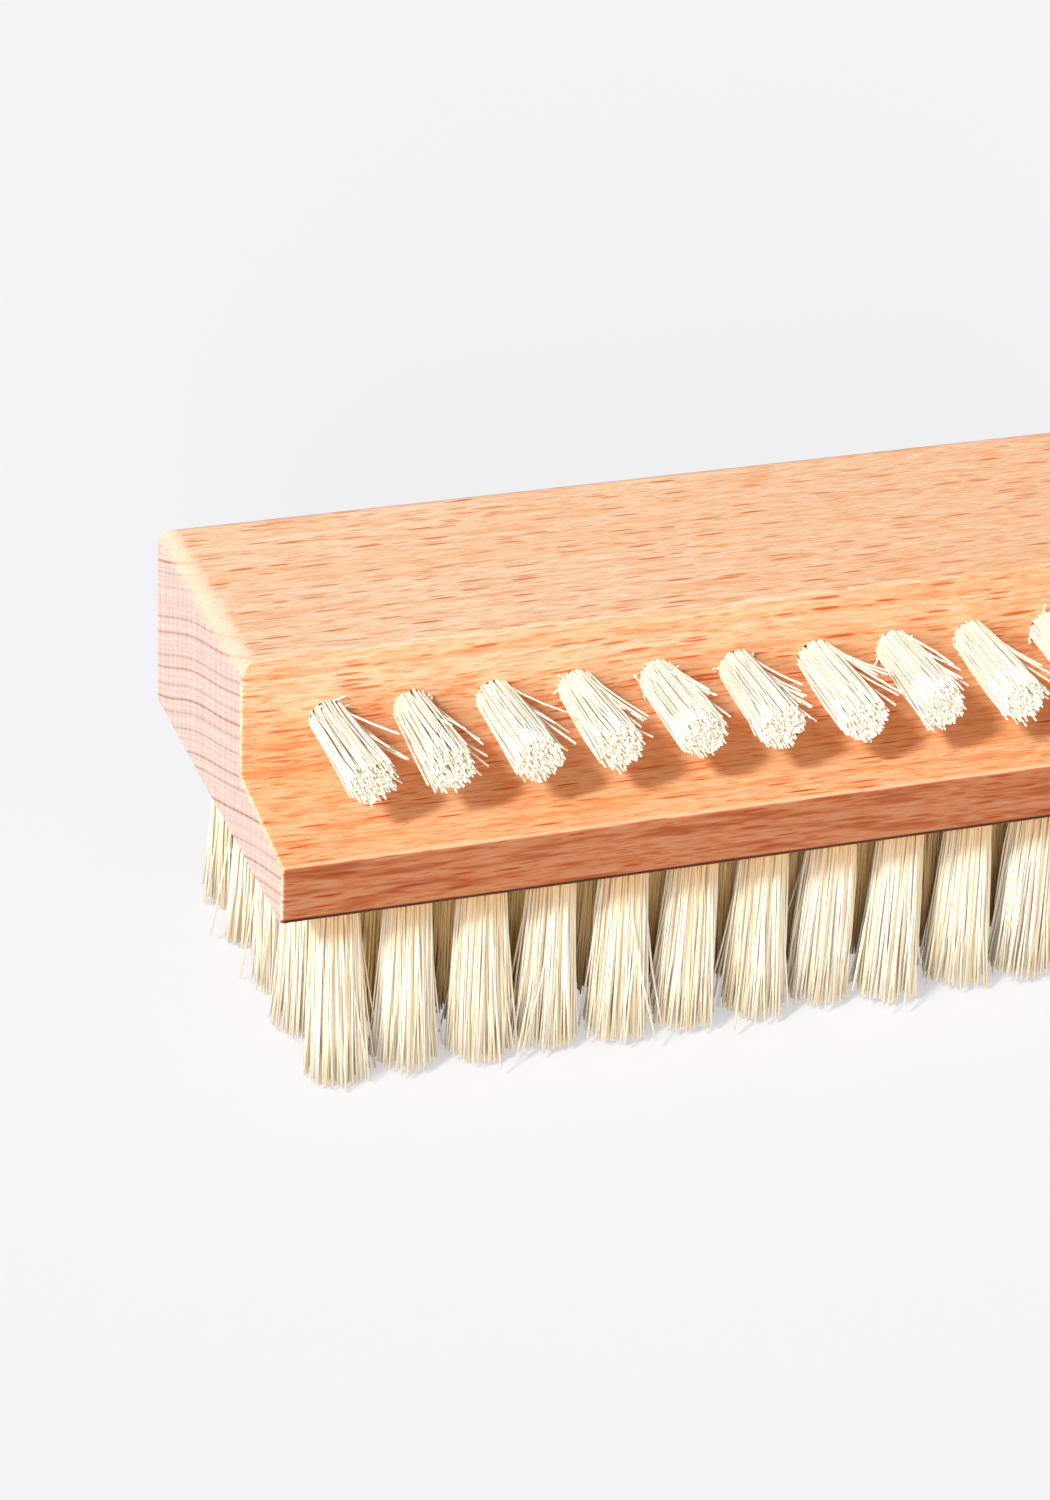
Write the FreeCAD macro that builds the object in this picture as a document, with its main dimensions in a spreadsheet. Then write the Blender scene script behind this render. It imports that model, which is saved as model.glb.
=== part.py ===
import FreeCAD, Part

import math
import os

import Sketcher

# Nail brush with a beech block. The front of the block is rabbeted: one row of short nail
# tufts points forward out of the rabbet's wall, over a sloping ledge, and a field of longer
# scrubbing tufts points down. Every tuft is folded over a flat wire anchor in a blind hole.
# Millimetres, +X along the block, nail row towards -Y, +Z up. The origin lies under the
# middle of the block, on the surface that the scrubbing tufts stand on.

SIZES = (
    ("block_length", 95.0, "block, along the grain"),
    ("block_width", 40.0, "block, front to back"),
    ("block_height", 17.2, "block, underside to top"),
    ("ledge_depth", 12.8, "rabbet, lip to wall"),
    ("ledge_inner_height", 7.0, "ledge above the underside, at the wall"),
    ("ledge_lip_height", 5.5, "ledge above the underside, at the lip"),
    ("end_rounding", 1.8, "edge of the top at both ends"),
    ("top_rounding", 1.5, "long edges of the top"),
    ("lip_rounding", 0.5, "long edge of the lip"),
    ("underside_rounding", 0.6, "long edges of the underside"),
    ("end_easing", 0.35, "other edges round both ends"),
    ("nail_end_margin", 7.57, "end of the block to the nearest nail tuft"),
    ("nail_gap", 3.26, "between the tips of two nail tufts"),
    ("nail_rise", 4.6, "axis of the nail tufts above the ledge, at the wall"),
    ("nail_hole_diameter", 3.2, "hole of a nail tuft"),
    ("nail_hole_depth", 9.0, "hole of a nail tuft"),
    ("nail_flare", 0.8, "growth of a nail tuft's diameter, mouth to tip"),
    ("nail_setback", 1.3, "tips of the nail tufts behind the lip"),
    ("nail_fold", 1.2, "bristles folded under a nail tuft's anchor"),
    ("field_end_margin", 6.16, "end of the block to the nearest column of the field"),
    ("field_side_margin", 5.0, "front or back of the block to the nearest row of the field"),
    ("field_column_gap", 1.16, "between tips of two columns of the field"),
    ("field_row_gap", 2.3, "between tips of two rows of the field"),
    ("field_hole_diameter", 4.0, "hole of a field tuft"),
    ("field_floor", 1.0, "wood left over the field's holes, at the lip"),
    ("field_flare", 1.2, "growth of a field tuft's diameter, mouth to tip"),
    ("field_free_length", 18.3, "field tuft, underside of the block to tip"),
    ("field_fold", 0.8, "bristles folded under a field tuft's anchor"),
    ("anchor_thickness", 0.35, "flat wire"),
    ("anchor_height", 1.6, "flat wire, along the hole"),
    ("anchor_bite", 0.6, "each end of an anchor in the wood beside its hole"),
    ("tuft_clearance", 0.05, "tuft to the wall of its hole"),
    ("anchor_clearance", 0.03, "anchor to its tuft and to the wood"),
)

doc = FreeCAD.newDocument("nail_brush")
sheet = doc.addObject("Spreadsheet::Sheet", "Sizes")
for line, (alias, number, meaning) in enumerate(SIZES, start=1):
    sheet.set(f"A{line}", meaning)
    sheet.set(f"B{line}", str(number))
    sheet.setAlias(f"B{line}", alias)
doc.recompute()


def size(name):
    """Number in the sheet's cell of this name."""
    return float(sheet.get(name))


# Sizes that follow from the driving ones, as expressions on the sheet.

HOLE_DEPTH = {
    "nail": "Sizes.nail_hole_depth",
    "field": "(Sizes.ledge_lip_height - Sizes.field_floor)",
}
FREE_LENGTH = {
    "nail": "(Sizes.ledge_depth - Sizes.nail_setback)",
    "field": "Sizes.field_free_length",
}
TIP_DIAMETER = {
    "nail": "(Sizes.nail_hole_diameter + Sizes.nail_flare)",
    "field": "(Sizes.field_hole_diameter + Sizes.field_flare)",
}
NAIL_PITCH = f"({TIP_DIAMETER['nail']} + Sizes.nail_gap)"
COLUMN_PITCH = f"({TIP_DIAMETER['field']} + Sizes.field_column_gap)"
ROW_PITCH = f"({TIP_DIAMETER['field']} + Sizes.field_row_gap)"
WALL_PLACE = "(Sizes.ledge_depth - Sizes.block_width / 2)"
NAIL_AXIS_HEIGHT = "(Sizes.ledge_inner_height + Sizes.nail_rise)"


def row_count(extent, margin, pitch):
    """Tufts that fill a row, at this pitch, between the margins at its two ends."""
    return round((extent - 2 * margin) / pitch) + 1


field_tip = size("field_hole_diameter") + size("field_flare")
nail_pitch = size("nail_hole_diameter") + size("nail_flare") + size("nail_gap")
column_pitch = field_tip + size("field_column_gap")
rank_pitch = field_tip + size("field_row_gap")
nail_count = row_count(size("block_length"), size("nail_end_margin"), nail_pitch)
column_count = row_count(size("block_length"), size("field_end_margin"), column_pitch)
rank_count = row_count(size("block_width"), size("field_side_margin"), rank_pitch)


def bind(item, expressions):
    """Tie properties of an object to the sheet."""
    for name, expression in expressions.items():
        item.setExpression(name, expression)
    return item


def centred(index, count, pitch):
    """Place of one member of a row that is centred on the block, as an expression."""
    return f"{index - (count - 1) / 2} * {pitch}"


# Beech block

START_INDEX = 1
END_INDEX = 2
CENTRE_INDEX = 3
ORIGIN_POINT = (-1, 1)
UPRIGHT_AXIS_INDEX = -2
LEVEL_AXIS_INDEX = -1


def add_sketch(body, name, plane_role):
    """Sketch on one of the body's own origin planes."""
    plane = next(item for item in body.Origin.OriginFeatures if item.Role == plane_role)
    sketch = body.newObject("Sketcher::SketchObject", name)
    sketch.AttachmentSupport = [(plane, "")]
    sketch.MapMode = "FlatFace"
    return sketch


def constrain(sketch, kind, *references):
    """Constraint of a sketch, and its place in the sketch's list."""
    return sketch.addConstraint(Sketcher.Constraint(kind, *references))


def draw_loop(sketch, corners):
    """Closed chain of straight lines through the corners."""
    count = len(corners)
    for index, corner in enumerate(corners):
        following = corners[(index + 1) % count]
        sketch.addGeometry(Part.LineSegment(FreeCAD.Vector(*corner), FreeCAD.Vector(*following)))
    for index in range(count):
        constrain(sketch, "Coincident", index, END_INDEX, (index + 1) % count, START_INDEX)


def dimension(sketch, kind, references, name, value, expression):
    """Named dimension of a sketch, tied to the sheet."""
    index = constrain(sketch, kind, *references, value)
    sketch.renameConstraint(index, name)
    sketch.setExpression(f"Constraints.{name}", expression)


def draw_profile(sketch):
    """Section of the block: underside, back, top, wall of the rabbet, ledge and lip."""
    front = -size("block_width") / 2
    wall = front + size("ledge_depth")
    top = size("block_height")
    underside, back, top_line, wall_line, ledge, lip = range(6)
    draw_loop(sketch, [
        (front, 0),
        (-front, 0),
        (-front, top),
        (wall, top),
        (wall, size("ledge_inner_height")),
        (front, size("ledge_lip_height")),
    ])
    constrain(sketch, "Horizontal", top_line)
    for upright_line in (back, wall_line, lip):
        constrain(sketch, "Vertical", upright_line)
    constrain(sketch, "PointOnObject", underside, START_INDEX, LEVEL_AXIS_INDEX)
    constrain(sketch, "Symmetric", underside, START_INDEX, underside, END_INDEX, UPRIGHT_AXIS_INDEX)
    dimension(sketch, "DistanceX", (underside, START_INDEX, underside, END_INDEX), "width",
              size("block_width"), "Sizes.block_width")
    dimension(sketch, "DistanceY", (back, START_INDEX, back, END_INDEX), "height",
              size("block_height"), "Sizes.block_height")
    dimension(sketch, "DistanceX", (ledge, END_INDEX, ledge, START_INDEX), "ledge_depth",
              size("ledge_depth"), "Sizes.ledge_depth")
    dimension(sketch, "DistanceY", (underside, START_INDEX, ledge, START_INDEX), "inner_height",
              size("ledge_inner_height"), "Sizes.ledge_inner_height")
    dimension(sketch, "DistanceY", (lip, END_INDEX, lip, START_INDEX), "lip_height",
              size("ledge_lip_height"), "Sizes.ledge_lip_height")


def draw_hole(sketch, kind):
    """Mouth of a tuft's hole, centred on the sketch."""
    radius = size(f"{kind}_hole_diameter") / 2
    circle = sketch.addGeometry(Part.Circle(FreeCAD.Vector(), FreeCAD.Vector(0, 0, 1), radius))
    constrain(sketch, "Coincident", circle, CENTRE_INDEX, *ORIGIN_POINT)
    dimension(sketch, "Diameter", (circle,), "hole", 2 * radius, f"Sizes.{kind}_hole_diameter")


def draw_slot(sketch, kind):
    """Slot that an anchor's two ends bite into the wood, centred on the sketch."""
    across = size("anchor_thickness") + 2 * size("anchor_clearance")
    along = size(f"{kind}_hole_diameter") + 2 * size("anchor_bite") + 2 * size("anchor_clearance")
    left, low = -across / 2, -along / 2
    bottom, right, top, far = range(4)
    draw_loop(sketch, [(left, low), (-left, low), (-left, -low), (left, -low)])
    for level_line in (bottom, top):
        constrain(sketch, "Horizontal", level_line)
    for upright_line in (right, far):
        constrain(sketch, "Vertical", upright_line)
    constrain(sketch, "Symmetric", bottom, START_INDEX, top, START_INDEX, *ORIGIN_POINT)
    dimension(sketch, "DistanceX", (bottom, START_INDEX, bottom, END_INDEX), "across", across,
              "Sizes.anchor_thickness + 2 * Sizes.anchor_clearance")
    dimension(sketch, "DistanceY", (right, START_INDEX, right, END_INDEX), "along", along,
              f"Sizes.{kind}_hole_diameter + 2 * Sizes.anchor_bite + 2 * Sizes.anchor_clearance")


def draw_corner(sketch, side):
    """What the top's rounding takes off the block over one end, -1 left or 1 right: a square that
    stands out over the corner, less the quarter circle that stays."""
    radius = size("end_rounding")
    middle = side * (size("block_length") / 2 - radius)
    low = size("block_height") - radius
    end = "left" if side < 0 else "right"
    corners = [
        (middle, low + radius),
        (middle, low + 2 * radius),
        (middle + 2 * side * radius, low + 2 * radius),
        (middle + 2 * side * radius, low),
        (middle + side * radius, low),
    ]
    near, over, far, under = (
        sketch.addGeometry(Part.LineSegment(FreeCAD.Vector(*first), FreeCAD.Vector(*second)))
        for first, second in zip(corners, corners[1:])
    )
    circle = Part.Circle(FreeCAD.Vector(middle, low), FreeCAD.Vector(0, 0, 1), radius)
    turn = (math.pi / 2, math.pi) if side < 0 else (0, math.pi / 2)
    arc = sketch.addGeometry(Part.ArcOfCircle(circle, *turn))
    at_top, at_end = (START_INDEX, END_INDEX) if side < 0 else (END_INDEX, START_INDEX)

    for line, following in ((near, over), (over, far), (far, under)):
        constrain(sketch, "Coincident", line, END_INDEX, following, START_INDEX)
    constrain(sketch, "Coincident", arc, at_top, near, START_INDEX)
    constrain(sketch, "Coincident", arc, at_end, under, END_INDEX)
    for upright_line in (near, far):
        constrain(sketch, "Vertical", upright_line)
    for level_line in (over, under):
        constrain(sketch, "Horizontal", level_line)
    constrain(sketch, "Vertical", arc, CENTRE_INDEX, arc, at_top)
    constrain(sketch, "Horizontal", arc, CENTRE_INDEX, arc, at_end)
    constrain(sketch, "Equal", near, under)
    centre = (arc, CENTRE_INDEX)
    span = (*centre, *ORIGIN_POINT) if side < 0 else (*ORIGIN_POINT, *centre)
    dimension(sketch, "DistanceX", span, f"{end}_place", abs(middle),
              "Sizes.block_length / 2 - Sizes.end_rounding")
    dimension(sketch, "DistanceY", (*ORIGIN_POINT, *centre), f"{end}_height", low,
              "Sizes.block_height - Sizes.end_rounding")
    dimension(sketch, "Radius", (arc,), f"{end}_rounding", radius, "Sizes.end_rounding")
    dimension(sketch, "DistanceY", (near, START_INDEX, near, END_INDEX), f"{end}_standing_out",
              radius, "Sizes.end_rounding")


TOLERANCE_SHARE = 1e-6


def same(first, second):
    """Whether two places on the block agree."""
    return abs(first - second) < TOLERANCE_SHARE * size("block_length")


def edge_names(shape, chosen):
    """Names of the edges whose two ends are both where the test says."""
    edges = enumerate(shape.Edges, start=1)
    return [f"Edge{number}" for number, edge in edges if chosen([vertex.Point for vertex in edge.Vertexes])]


def is_end_edge(points):
    """An edge round one end of the block."""
    at_end = same(abs(points[0].x), size("block_length") / 2)
    return at_end and all(same(point.x, points[0].x) for point in points)


def is_top_edge(points):
    """A long edge of the block's top: over the rabbet's wall or at the back."""
    back = size("block_width") / 2
    wall = size("ledge_depth") - back
    along = not same(points[0].x, points[-1].x)
    at_top = all(same(point.z, size("block_height")) for point in points)
    at_side = all(same(point.y, back) or same(point.y, wall) for point in points)
    return along and at_top and at_side


def is_lip_edge(points):
    """The long edge of the ledge's lip."""
    along = not same(points[0].x, points[-1].x)
    at_front = all(same(point.y, -size("block_width") / 2) for point in points)
    at_ledge = all(same(point.z, size("ledge_lip_height")) for point in points)
    return along and at_front and at_ledge


def is_underside_edge(points):
    """A long edge of the underside: at the front or at the back."""
    along = not same(points[0].x, points[-1].x)
    at_underside = all(same(point.z, 0) for point in points)
    at_side = all(same(abs(point.y), size("block_width") / 2) for point in points)
    return along and at_underside and at_side


def round_edges(body, name, chosen, radius):
    """Rounding of the chosen edges of the body as it stands."""
    doc.recompute()
    base = body.Tip
    fillet = body.newObject("PartDesign::Fillet", name)
    fillet.Base = (base, edge_names(base.Shape, chosen))
    bind(fillet, {"Radius": radius})


def sink(body, sketch, name, depth, into_normal, side_type="One side"):
    """Pocket from a sketch into the wood. It has to remove some."""
    doc.recompute()
    before = body.Tip.Shape.Volume
    pocket = body.newObject("PartDesign::Pocket", name)
    pocket.Profile = sketch
    pocket.SideType = side_type
    pocket.Reversed = into_normal
    bind(pocket, {"Length": depth})
    doc.recompute()
    if not pocket.Shape.Volume < before:
        raise RuntimeError(f"{name} removes no wood")
    return pocket


def repeat(body, name, features, count, pitch):
    """Row of the same features along the block."""
    axis = next(item for item in body.Origin.OriginFeatures if item.Role == "X_Axis")
    pattern = body.newObject("PartDesign::LinearPattern", name)
    pattern.Originals = features
    pattern.Direction = (axis, [""])
    pattern.Occurrences = count
    bind(pattern, {"Length": f"{count - 1} * {pitch}"})
    body.Tip = pattern
    return pattern


def make_block(label):
    """Rounded block with a blind hole, and slots for its anchor, at the place of every tuft."""
    body = doc.addObject("PartDesign::Body", label)
    profile = add_sketch(body, "block_profile", "YZ_Plane")
    draw_profile(profile)
    pad = body.newObject("PartDesign::Pad", "block_pad")
    pad.Profile = profile
    pad.SideType = "Symmetric"
    bind(pad, {"Length": "Sizes.block_length"})
    round_edges(body, "rounded_top", is_top_edge, "Sizes.top_rounding")
    round_edges(body, "rounded_lip", is_lip_edge, "Sizes.lip_rounding")
    round_edges(body, "rounded_underside", is_underside_edge, "Sizes.underside_rounding")
    round_edges(body, "eased_ends", is_end_edge, "Sizes.end_easing")
    corners = add_sketch(body, "top_corners", "XZ_Plane")
    for side in (-1, 1):
        draw_corner(corners, side)
    sink(body, corners, "rounded_ends", "2 * Sizes.block_width", False, "Symmetric")

    slot_height = "(Sizes.anchor_height + Sizes.anchor_clearance)"
    nail_slot_depth = f"({HOLE_DEPTH['nail']} - Sizes.nail_fold - {slot_height})"
    nail_mouth = add_sketch(body, "nail_mouth", "XZ_Plane")
    draw_hole(nail_mouth, "nail")
    nail_slot = add_sketch(body, "nail_slot", "XZ_Plane")
    draw_slot(nail_slot, "nail")
    for sketch, depth in ((nail_mouth, "0"), (nail_slot, nail_slot_depth)):
        bind(sketch, {
            "AttachmentOffset.Base.x": centred(0, nail_count, NAIL_PITCH),
            "AttachmentOffset.Base.y": NAIL_AXIS_HEIGHT,
            "AttachmentOffset.Base.z": f"-{WALL_PLACE} - {depth}",
        })
    nail_features = [
        sink(body, nail_mouth, "nail_hole", HOLE_DEPTH["nail"], False),
        sink(body, nail_slot, "nail_anchor_slot", slot_height, False),
    ]
    repeat(body, "nail_holes", nail_features, nail_count, NAIL_PITCH)

    field_slot_depth = f"({HOLE_DEPTH['field']} - Sizes.field_fold - {slot_height})"
    field_mouth = add_sketch(body, "field_mouth", "XY_Plane")
    draw_hole(field_mouth, "field")
    field_slot = add_sketch(body, "field_slot", "XY_Plane")
    draw_slot(field_slot, "field")
    for sketch, depth in ((field_mouth, "0"), (field_slot, field_slot_depth)):
        bind(sketch, {
            "AttachmentOffset.Base.x": centred(0, column_count, COLUMN_PITCH),
            "AttachmentOffset.Base.y": centred(0, rank_count, ROW_PITCH),
            "AttachmentOffset.Base.z": depth,
        })
    field_features = [
        sink(body, field_mouth, "field_hole", HOLE_DEPTH["field"], True),
        sink(body, field_slot, "field_anchor_slot", slot_height, True),
    ]
    field = repeat(body, "field_holes", field_features, column_count, COLUMN_PITCH)
    across = next(item for item in body.Origin.OriginFeatures if item.Role == "Y_Axis")
    field.Direction2 = (across, [""])
    field.Occurrences2 = rank_count
    bind(field, {"Length2": f"{rank_count - 1} * {ROW_PITCH}"})
    return bind(body, {"Placement.Base.z": "Sizes.field_free_length"})


# Tufts and their anchors

SIDEWAYS = FreeCAD.Vector(1, 0, 0)
FORWARD_TURN = 90
DOWNWARD_TURN = 180
TURN = {"nail": FORWARD_TURN, "field": DOWNWARD_TURN}


def add_solid(kind, name, expressions):
    """Part primitive tied to the sheet."""
    return bind(doc.addObject(f"Part::{kind}", name), expressions)


def make_tuft(label, kind, hole_floor):
    """Bundle of bristles: the root fills its hole, the free length flares, and a tunnel for the
    anchor crosses the root over the fold. It is built upright on its hole's floor, then placed."""
    root_radius = f"Sizes.{kind}_hole_diameter / 2 - Sizes.tuft_clearance"
    root = add_solid("Cylinder", f"{label}_root", {
        "Radius": root_radius,
        "Height": HOLE_DEPTH[kind],
    })
    free = add_solid("Cone", f"{label}_free", {
        "Radius1": root_radius,
        "Radius2": f"{TIP_DIAMETER[kind]} / 2",
        "Height": FREE_LENGTH[kind],
        "Placement.Base.z": HOLE_DEPTH[kind],
    })
    tunnel = add_solid("Box", f"{label}_tunnel", {
        "Length": "Sizes.anchor_thickness + 2 * Sizes.anchor_clearance",
        "Width": f"Sizes.{kind}_hole_diameter",
        "Height": "Sizes.anchor_height + Sizes.anchor_clearance",
        "Placement.Base.x": "-Sizes.anchor_thickness / 2 - Sizes.anchor_clearance",
        "Placement.Base.y": f"-Sizes.{kind}_hole_diameter / 2",
        "Placement.Base.z": f"Sizes.{kind}_fold",
    })
    bundle = doc.addObject("Part::Fuse", f"{label}_bundle")
    bundle.Base = root
    bundle.Tool = free
    tuft = doc.addObject("Part::Cut", label)
    tuft.Base = bundle
    tuft.Tool = tunnel
    tuft.Placement = FreeCAD.Placement(FreeCAD.Vector(), FreeCAD.Rotation(SIDEWAYS, TURN[kind]))
    return bind(tuft, {f"Placement.Base.{axis}": place for axis, place in zip("xyz", hole_floor)})


def make_anchor(label, kind, hole_floor):
    """Flat wire across a hole, on the fold of its tuft, with both ends in the wood."""
    length = f"(Sizes.{kind}_hole_diameter + 2 * Sizes.anchor_bite)"
    anchor = add_solid("Box", label, {
        "Length": "Sizes.anchor_thickness",
        "Width": length if kind == "field" else "Sizes.anchor_height",
        "Height": length if kind == "nail" else "Sizes.anchor_height",
    })
    floor_x, floor_y, floor_z = hole_floor
    rise = f"Sizes.{kind}_fold - Sizes.anchor_height"
    corner = {
        "nail": (f"{floor_y} - {rise}", f"{floor_z} - {length} / 2"),
        "field": (f"{floor_y} - {length} / 2", f"{floor_z} - {rise}"),
    }[kind]
    return bind(anchor, {
        "Placement.Base.x": f"{floor_x} - Sizes.anchor_thickness / 2",
        "Placement.Base.y": corner[0],
        "Placement.Base.z": corner[1],
    })


def gather(label, members):
    """Group of separate solids in one node."""
    group = doc.addObject("Part::Compound", label)
    group.Links = members
    return group


def nail_floor(index):
    """Middle of the floor of a hole in the rabbet's wall."""
    return (
        centred(index, nail_count, NAIL_PITCH),
        f"{WALL_PLACE} + {HOLE_DEPTH['nail']}",
        f"Sizes.field_free_length + {NAIL_AXIS_HEIGHT}",
    )


def field_floor(column, rank):
    """Middle of the floor of a hole in the underside. Rank 0 is the front row."""
    return (
        centred(column, column_count, COLUMN_PITCH),
        centred(rank, rank_count, ROW_PITCH),
        f"Sizes.field_free_length + {HOLE_DEPTH['field']}",
    )


def make_nail_row():
    """Short tufts that reach forward over the ledge, each a node, and their anchors."""
    nodes = []
    anchors = []
    for index in range(nail_count):
        place = nail_floor(index)
        nodes.append(make_tuft(f"nail_tuft_{index + 1:02d}", "nail", place))
        anchors.append(make_anchor(f"nail_anchor_{index + 1:02d}", "nail", place))
    return nodes + [gather("nail_anchors", anchors)]


def make_field():
    """Scrubbing tufts: each one round the outside is a node, and each inner row is a group."""
    nodes = []
    anchors = []
    for rank in range(rank_count):
        inner = []
        for column in range(column_count):
            place = field_floor(column, rank)
            anchors.append(make_anchor(f"field_anchor_{rank + 1}_{column + 1:02d}", "field", place))
            if rank == 0:
                nodes.append(make_tuft(f"front_tuft_{column + 1:02d}", "field", place))
            elif rank == rank_count - 1:
                nodes.append(make_tuft(f"back_tuft_{column + 1:02d}", "field", place))
            elif column == 0:
                nodes.append(make_tuft(f"left_tuft_{rank + 1}", "field", place))
            elif column == column_count - 1:
                nodes.append(make_tuft(f"right_tuft_{rank + 1}", "field", place))
            else:
                inner.append(make_tuft(f"inner_tuft_{rank + 1}_{column + 1:02d}", "field", place))
        if inner:
            nodes.append(gather(f"inner_tufts_row_{rank + 1}", inner))
    return nodes + [gather("field_anchors", anchors)]


block = make_block("beech_block")
sub_parts = [block] + make_nail_row() + make_field()
doc.recompute()

for item in doc.Objects:
    if "Invalid" in item.State or "Error" in item.State:
        raise RuntimeError(f"{item.Label} failed: {item.State}")
for item in sub_parts:
    if item.Shape.isNull() or not item.Shape.isValid():
        raise RuntimeError(f"{item.Label} has no valid shape")

os.makedirs("parts", exist_ok=True)
for item in sub_parts:
    item.Shape.exportStep(f"parts/{item.Label}.step")
print(f"{len(sub_parts)} nodes, {sum(len(item.Shape.Solids) for item in sub_parts)} solids")
print(f"nail row of {nail_count}, field of {rank_count} rows by {column_count}")
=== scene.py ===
# %% [markdown]
# # A two-sided nail brush
#
# A beech block carries two sets of bristle tufts. The long tufts underneath scrub hands, and a row
# of short ones points forward over a ledge, for nails. The frame that is loaded here has every
# piece at its real size, so this lesson adds what a frame can't show: the figure of the wood, the
# separate bristles of every tuft, and the light.

import math

import bmesh
import bpy
import numpy as np
from mathutils import Matrix, Vector


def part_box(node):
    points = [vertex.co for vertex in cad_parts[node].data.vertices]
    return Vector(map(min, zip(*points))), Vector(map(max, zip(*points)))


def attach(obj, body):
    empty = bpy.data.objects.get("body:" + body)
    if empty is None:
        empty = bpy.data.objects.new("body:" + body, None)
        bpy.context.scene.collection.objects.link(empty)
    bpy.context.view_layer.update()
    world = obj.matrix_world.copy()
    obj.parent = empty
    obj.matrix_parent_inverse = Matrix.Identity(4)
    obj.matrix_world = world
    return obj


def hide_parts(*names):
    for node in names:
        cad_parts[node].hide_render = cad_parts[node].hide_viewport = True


MM = 0.001
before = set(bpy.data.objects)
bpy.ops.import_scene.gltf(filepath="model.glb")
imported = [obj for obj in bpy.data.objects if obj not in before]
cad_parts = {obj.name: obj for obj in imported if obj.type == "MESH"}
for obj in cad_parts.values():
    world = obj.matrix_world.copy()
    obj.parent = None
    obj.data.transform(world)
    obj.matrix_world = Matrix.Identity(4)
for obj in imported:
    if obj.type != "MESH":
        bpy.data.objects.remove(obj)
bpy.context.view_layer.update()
block_low, block_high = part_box("beech_block")


# %% [markdown]
# ## Camera
#
# The camera could be moved by eye until the picture looks right. Here its place and its three
# angles were worked out once, from where the corners of the block and the tufts fall in the
# picture, so a plain turn, tilt and roll give the same view. The lens follows from the focal length
# in pixels.

# %% Camera
PHOTO_LONG_SIDE = 1500
FOCAL_LENGTH_PIXELS = 4484
SENSOR_WIDTH = 36
VIEW_PLACE = Vector((-135.4, -319.65, 208.6)) * MM
VIEW_TURN = math.radians(-19.875)
VIEW_TILT = math.radians(90 - 29.01)
VIEW_ROLL = math.radians(2.58)

view = bpy.data.cameras.new("view")
view.sensor_width = SENSOR_WIDTH
view.lens = SENSOR_WIDTH * FOCAL_LENGTH_PIXELS / PHOTO_LONG_SIDE
camera = bpy.data.objects.new("camera", view)
bpy.context.scene.collection.objects.link(camera)
bpy.context.scene.camera = camera
camera.matrix_world = Matrix.Translation(VIEW_PLACE)
for angle, axis in ((VIEW_TURN, "Z"), (VIEW_TILT, "X"), (VIEW_ROLL, "Z")):
    camera.matrix_world = camera.matrix_world @ Matrix.Rotation(angle, 4, axis)
print("lens of", round(view.lens, 1), "mm")

# %% [markdown]
# ## Shader arithmetic
#
# Finishes are made of nodes, and a long chain of Math nodes is hard to read. One small class wraps
# an output socket, so that `1 - mask` or `fibre * 0.3` adds the nodes by itself. Every other node
# comes from one method, which takes the node's type, its settings and what its sockets hold.

# %% Signals and recipes
class Signal:
    """One output of a finish's nodes. Arithmetic on it adds Math nodes."""

    def __init__(self, recipe, socket):
        self.recipe = recipe
        self.socket = socket

    def maths(self, operation, *values):
        sockets = dict(enumerate(values))
        return self.recipe.node("ShaderNodeMath", {"operation": operation}, sockets)

    def __add__(self, other):
        return self.maths("ADD", self, other)

    def __sub__(self, other):
        return self.maths("SUBTRACT", self, other)

    def __rsub__(self, other):
        return self.maths("SUBTRACT", other, self)

    def __mul__(self, other):
        return self.maths("MULTIPLY", self, other)

    __radd__ = __add__
    __rmul__ = __mul__


class Recipe:
    """The nodes of one finish."""

    def __init__(self, tree):
        self.tree = tree

    def node(self, kind, settings=None, sockets=None, output=0):
        made = self.tree.nodes.new(kind)
        for name, value in (settings or {}).items():
            setattr(made, name, value)
        self.fill(made, sockets or {})
        return Signal(self, made.outputs[output])

    def fill(self, made, sockets):
        for name, value in sockets.items():
            if isinstance(value, Signal):
                self.tree.links.new(value.socket, made.inputs[name])
            else:
                made.inputs[name].default_value = value


# %% [markdown]
# A few node groups of one line each come up again and again: a soft step between two levels, a mix
# of two colours, a pattern stretched by different amounts along three directions. Colours are
# written as a paint chart gives them, from 0 to 255, and turned into the linear values that light
# works with.

# %% Everyday recipes
MIX_FACTOR, MIX_FIRST, MIX_SECOND, MIX_RESULT = 0, 6, 7, 2
SCREEN_KNEE, SCREEN_SLOPE, SCREEN_OFFSET, SCREEN_POWER = 0.04, 12.92, 0.055, 2.4
CLOUD_ROUGHNESS = 0.55


def paint(red, green, blue):
    """Linear colour of a paint given from 0 to 255, by the usual curve of screens."""
    shares = [level / 255 for level in (red, green, blue)]
    curved = [((share + SCREEN_OFFSET) / (1 + SCREEN_OFFSET)) ** SCREEN_POWER for share in shares]
    straight = [share / SCREEN_SLOPE for share in shares]
    levels = zip(shares, curved, straight)
    return [high if share > SCREEN_KNEE else low for share, high, low in levels] + [1]


def soft_step(recipe, value, low, high):
    """0 where the value is at low, 1 where it is at high, and smooth between."""
    sockets = {"Value": value, "From Min": low, "From Max": high}
    return recipe.node("ShaderNodeMapRange", {"interpolation_type": "SMOOTHSTEP"}, sockets)


def between(share, low, high):
    """A share from 0 to 1, moved to run from low to high."""
    return share * (high - low) + low


def blend(recipe, first, second, share, mode="MIX"):
    """Two colours, mixed by a share."""
    settings = {"data_type": "RGBA", "blend_type": mode}
    sockets = {MIX_FACTOR: share, MIX_FIRST: first, MIX_SECOND: second}
    return recipe.node("ShaderNodeMix", settings, sockets, MIX_RESULT)


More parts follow.
